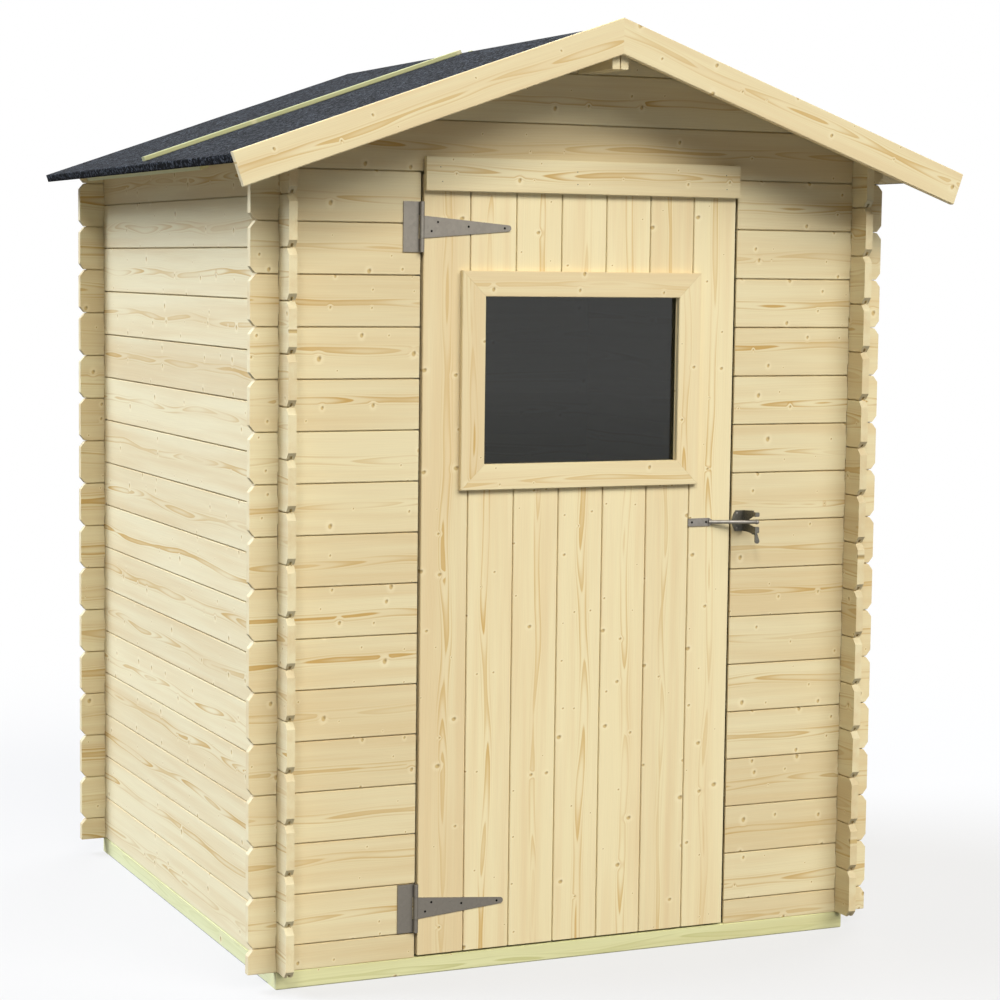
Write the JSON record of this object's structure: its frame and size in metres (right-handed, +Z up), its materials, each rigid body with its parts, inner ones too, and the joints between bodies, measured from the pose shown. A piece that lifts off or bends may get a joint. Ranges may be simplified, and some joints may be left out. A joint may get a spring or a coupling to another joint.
{
  "type": "wooden garden shed",
  "caption": "Small log-cabin garden shed with interlocked board corners, a felted gable roof and a hinged plank door with a window, T hinges and a gate latch.",
  "frame": {"origin": "on the ground, under the middle of the whole shed with its roof", "axes": "+Z up, +X to the right seen from the front, +Y from the door to the back"},
  "size_m": [1.7904, 1.705, 2.146],
  "materials": {
    "spruce": "planed, untreated, with fine grain and small knots",
    "treated_softwood": "sawn, pressure treated, greenish",
    "roofing_felt": "bitumen felt with fine mineral grit, matt",
    "window_glass": "clear float glass",
    "galvanised_steel": "galvanised, satin",
    "dark_steel": "dark plated steel, satin"
  },
  "bodies": {
    "shed": {"back_wall": "spruce", "barge_board_left": "spruce", "barge_board_right": "spruce", "base_beam_back": "treated_softwood", "base_beam_front": "treated_softwood", "base_beam_left": "treated_softwood", "base_beam_right": "treated_softwood", "eave_batten_left": "treated_softwood", "eave_batten_right": "treated_softwood", "front_gable": "spruce", "front_wall_left": "spruce", "front_wall_right": "spruce", "hinge_leaf_lower": "galvanised_steel", "hinge_leaf_upper": "galvanised_steel", "latch_catch": "dark_steel", "left_wall": "spruce", "ridge_plank_left": "spruce", "ridge_plank_right": "spruce", "right_wall": "spruce", "roof_batten_left": "treated_softwood", "roof_batten_right": "treated_softwood", "roof_deck_left": "spruce", "roof_deck_right": "spruce", "roof_felt_left": "roofing_felt", "roof_felt_right": "roofing_felt"},
    "door": {"door_leaf": "spruce", "door_head_board": "spruce", "door_ledge_lower": "spruce", "door_ledge_middle": "spruce", "door_ledge_upper": "spruce", "door_brace": "spruce", "window_trim_bottom": "spruce", "window_trim_left": "spruce", "window_trim_right": "spruce", "window_trim_top": "spruce", "window_glass": "window_glass", "window_bead": "spruce", "hinge_strap_lower": "galvanised_steel", "hinge_strap_upper": "galvanised_steel", "latch_bar": "galvanised_steel"},
    "lever": {"latch_lever": "dark_steel"}
  },
  "joints": [
    {"name": "door_hinge", "type": "hinge", "parent": "shed", "child": "door", "pos_m": [-0.3995, -0.672, 0.92], "axis": [0, 0, -1], "range_deg": [0, 120]},
    {"name": "lever_pivot", "type": "hinge", "parent": "shed", "child": "lever", "pos_m": [0.433, -0.7025, 0.992], "axis": [1, 0, 0], "range_deg": [0, 30]}
  ]
}
